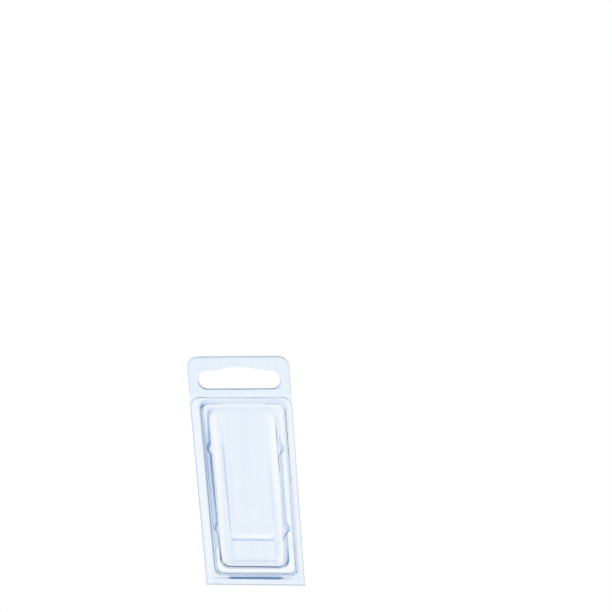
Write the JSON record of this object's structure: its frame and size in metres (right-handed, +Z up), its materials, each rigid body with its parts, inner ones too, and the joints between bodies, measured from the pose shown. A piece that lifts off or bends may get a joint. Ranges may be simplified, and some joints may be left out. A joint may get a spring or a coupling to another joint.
{
  "type": "plastic clamshell pack",
  "caption": "Clear formed-plastic clamshell with a hang tab: a flat back with a wide hang hole and a raised plug, and a hinged front cover that forms a narrow pocket for a small product.",
  "frame": {"origin": "the point on the rear face where a peg carries the pack: the peak of the hang hole's upper edge", "axes": "+Z up as the pack hangs, +X across it, +Y behind it, so the cover faces -Y"},
  "size_m": [0.04, 0.0082, 0.0997],
  "materials": {
    "clear_sheet": "clear, glossy, with a faint blue cast"
  },
  "bodies": {
    "back": {"back_half": "clear_sheet"},
    "cover": {"front_cover": "clear_sheet"}
  },
  "joints": [
    {"name": "cover_hinge", "type": "hinge", "parent": "back", "child": "cover", "pos_m": [0, -0.00042, -0.0951], "axis": [1, 0, 0], "range_deg": [0, 180]}
  ]
}
